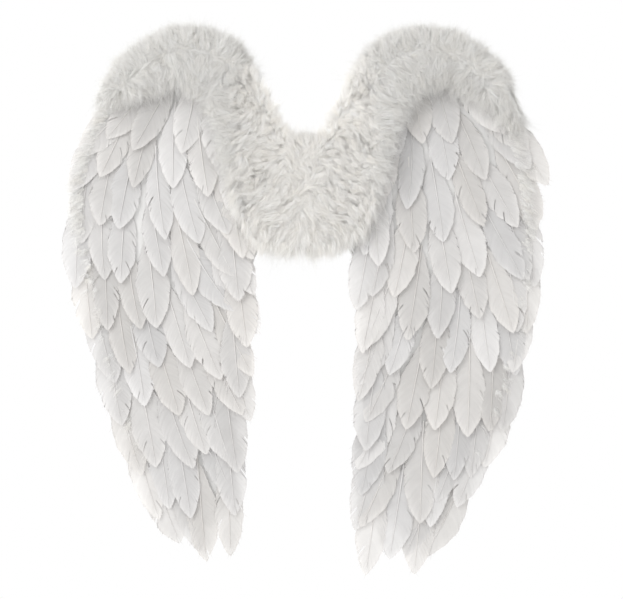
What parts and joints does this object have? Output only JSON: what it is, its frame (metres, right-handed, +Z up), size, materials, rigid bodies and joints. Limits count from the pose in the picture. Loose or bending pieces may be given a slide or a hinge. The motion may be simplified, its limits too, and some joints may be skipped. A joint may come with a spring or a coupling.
{
  "type": "costume wings",
  "caption": "Pair of white feathered costume wings on a fluffy centre yoke, with wing hinges that fold forward, a back pad and elastic shoulder straps.",
  "frame": {"origin": "centre of the back pad's outer face, which rests between the wearer's shoulder blades", "axes": "+Z up, +Y out of the back pad towards the wearer, so the feathers face -Y, +X towards the wing on the wearer's right"},
  "size_m": [0.5893, 0.0444, 0.6486],
  "materials": {
    "goose_feather": "matte",
    "marabou": "matte",
    "stiff_card": "matte",
    "lining_cloth": "matte",
    "felt": "matte",
    "pad_cloth": "matte",
    "cotton_tape": "matte",
    "elastic": "satin",
    "thread": "matte",
    "frame_steel": "satin"
  },
  "bodies": {
    "yoke": {"yoke_board": "stiff_card", "back_pad": "pad_cloth", "front_felt": "felt", "yoke_marabou": "marabou", "yoke_marabou_cord": "thread", "left_hinge_casing": "cotton_tape", "left_strap_ends": "elastic", "left_strap_stitches": "thread", "right_hinge_casing": "cotton_tape", "right_strap_ends": "elastic", "right_strap_stitches": "thread"},
    "left_wing": {"left_frame_wire": "frame_steel", "left_wing_board": "stiff_card", "left_wing_lining": "lining_cloth", "left_feather_row_01": "goose_feather", "left_feather_row_02": "goose_feather", "left_feather_row_03": "goose_feather", "left_feather_row_04": "goose_feather", "left_feather_row_05": "goose_feather", "left_feather_row_06": "goose_feather", "left_feather_row_07": "goose_feather", "left_feather_row_08": "goose_feather", "left_feather_row_09": "goose_feather", "left_feather_row_10": "goose_feather", "left_marabou": "marabou", "left_marabou_cord": "thread"},
    "right_wing": {"right_frame_wire": "frame_steel", "right_wing_board": "stiff_card", "right_wing_lining": "lining_cloth", "right_feather_row_01": "goose_feather", "right_feather_row_02": "goose_feather", "right_feather_row_03": "goose_feather", "right_feather_row_04": "goose_feather", "right_feather_row_05": "goose_feather", "right_feather_row_06": "goose_feather", "right_feather_row_07": "goose_feather", "right_feather_row_08": "goose_feather", "right_feather_row_09": "goose_feather", "right_feather_row_10": "goose_feather", "right_marabou": "marabou", "right_marabou_cord": "thread"},
    "left_strap": {"left_shoulder_strap": "elastic"},
    "right_strap": {"right_shoulder_strap": "elastic"}
  },
  "joints": [
    {"name": "left_wing_fold", "type": "hinge", "parent": "yoke", "child": "left_wing", "pos_m": [-0.05, -0.007, 0], "axis": [0, 0, 1], "range_deg": [0, 90]},
    {"name": "right_wing_fold", "type": "hinge", "parent": "yoke", "child": "right_wing", "pos_m": [0.05, -0.007, 0], "axis": [0, 0, -1], "range_deg": [0, 90]},
    {"name": "left_strap_swing", "type": "hinge", "parent": "yoke", "child": "left_strap", "pos_m": [-0.046, -0.003, 0], "axis": [0, 0, -1], "range_deg": [0, 90]},
    {"name": "right_strap_swing", "type": "hinge", "parent": "yoke", "child": "right_strap", "pos_m": [0.046, -0.003, 0], "axis": [0, 0, 1], "range_deg": [0, 90]}
  ]
}
